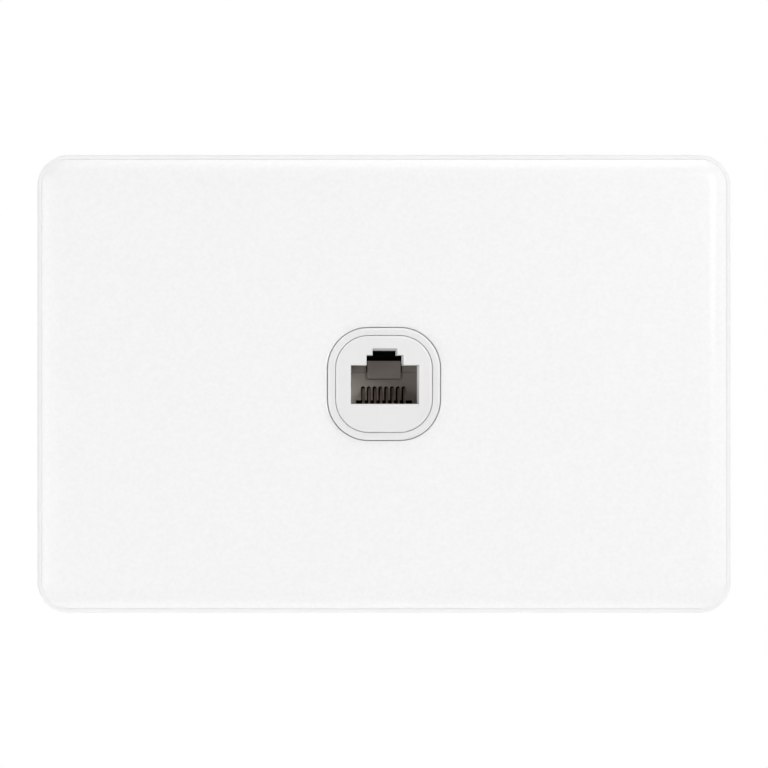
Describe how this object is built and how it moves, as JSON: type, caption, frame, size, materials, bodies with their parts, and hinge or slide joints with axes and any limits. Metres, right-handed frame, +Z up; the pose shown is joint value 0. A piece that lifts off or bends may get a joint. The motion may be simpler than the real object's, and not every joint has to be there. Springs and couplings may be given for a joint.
{
  "type": "telephone and data socket",
  "caption": "White screwless wall plate with a clip-on cover and one modular telephone and data jack, with spring contacts in front and wire terminals behind.",
  "frame": {"origin": "on the wall plane, midway between the two fixing screws, which is the plate's centre", "axes": "+X to the right along the plate's long side, +Y into the wall along the screws, +Z up"},
  "size_m": [0.118, 0.0312, 0.078],
  "materials": {
    "cover_white": "satin, very fine moulded grain",
    "frame_white": "satin",
    "ring_white": "satin",
    "face_white": "satin, slightly warm white",
    "jack_grey": "matt warm grey",
    "contact_gold": "gold plated",
    "board_green": "solder mask over glass laminate",
    "terminal_grey": "matt grey",
    "blade_tin": "tin plated",
    "cap_white": "satin",
    "screw_zinc": "bright zinc plated"
  },
  "bodies": {
    "base": {"grid_plate": "frame_white", "mounting_screws": "screw_zinc", "mechanism_bezel": "ring_white", "jack_carrier": "face_white", "jack_housing": "jack_grey", "contact_carrier": "jack_grey", "circuit_board": "board_green", "terminal_block": "terminal_grey", "contact_1": "contact_gold", "contact_2": "contact_gold", "contact_3": "contact_gold", "contact_4": "contact_gold", "contact_5": "contact_gold", "contact_6": "contact_gold", "contact_7": "contact_gold", "contact_8": "contact_gold", "idc_blade_1": "blade_tin", "idc_blade_2": "blade_tin", "idc_blade_3": "blade_tin", "idc_blade_4": "blade_tin", "idc_blade_5": "blade_tin", "idc_blade_6": "blade_tin", "idc_blade_7": "blade_tin", "idc_blade_8": "blade_tin"},
    "cover": {"cover_plate": "cover_white"},
    "left_cap": {"wire_cap_left": "cap_white"},
    "right_cap": {"wire_cap_right": "cap_white"}
  },
  "joints": [
    {"name": "cover_pull", "type": "slide", "parent": "base", "child": "cover", "axis": [0, -1, 0], "range_m": [0, 0.014]},
    {"name": "left_cap_pull", "type": "slide", "parent": "base", "child": "left_cap", "axis": [0, 1, 0], "range_m": [0, 0.008]},
    {"name": "right_cap_pull", "type": "slide", "parent": "base", "child": "right_cap", "axis": [0, 1, 0], "range_m": [0, 0.008]}
  ]
}
